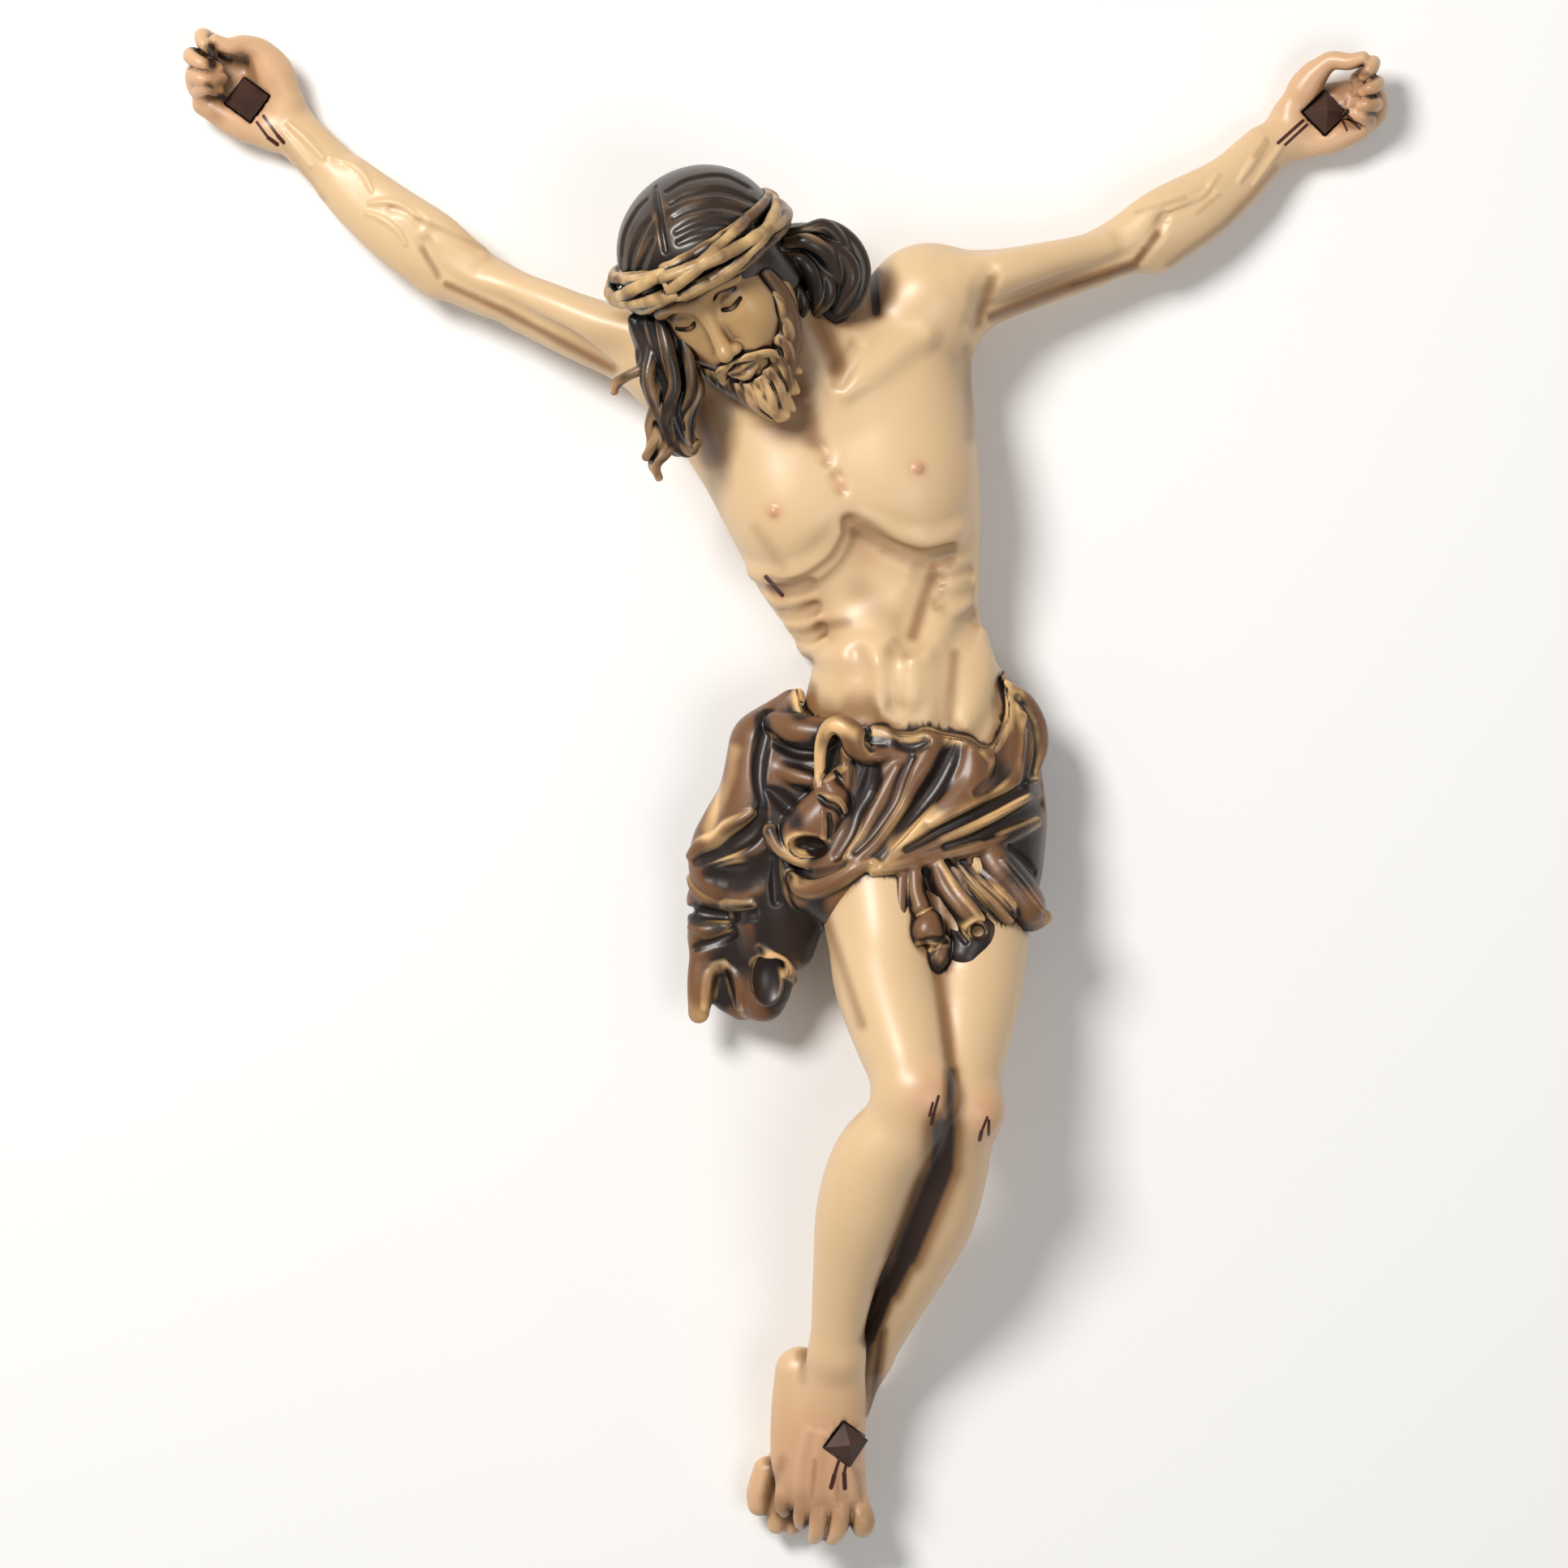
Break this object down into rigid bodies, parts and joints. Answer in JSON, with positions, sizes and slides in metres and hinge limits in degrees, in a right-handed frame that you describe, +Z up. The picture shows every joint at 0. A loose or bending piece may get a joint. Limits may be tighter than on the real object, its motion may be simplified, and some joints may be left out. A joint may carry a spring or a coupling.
{
  "type": "crucifix corpus figure",
  "caption": "Carved and painted crucifix corpus with crown of thorns, knotted loincloth and square-headed nails, without its cross, lying on its back.",
  "frame": {"origin": "centre of the bounding box on the surface that the figure lies on", "axes": "+Y toward the head and raised hands, +X toward the figure's left hand, +Z up, out of its chest as it lies on its back"},
  "size_m": [0.474, 0.596, 0.1274],
  "materials": {
    "painted_wood": "carved wood painted in flesh tones and browns, with a brown glaze and a satin varnish",
    "dark_nail": "small carved nails painted dark brown with worn lighter edges, satin"
  },
  "bodies": {
    "root": {"corpus": "painted_wood", "right_hand_nail": "dark_nail", "left_hand_nail": "dark_nail", "feet_nail": "dark_nail"}
  },
  "joints": []
}
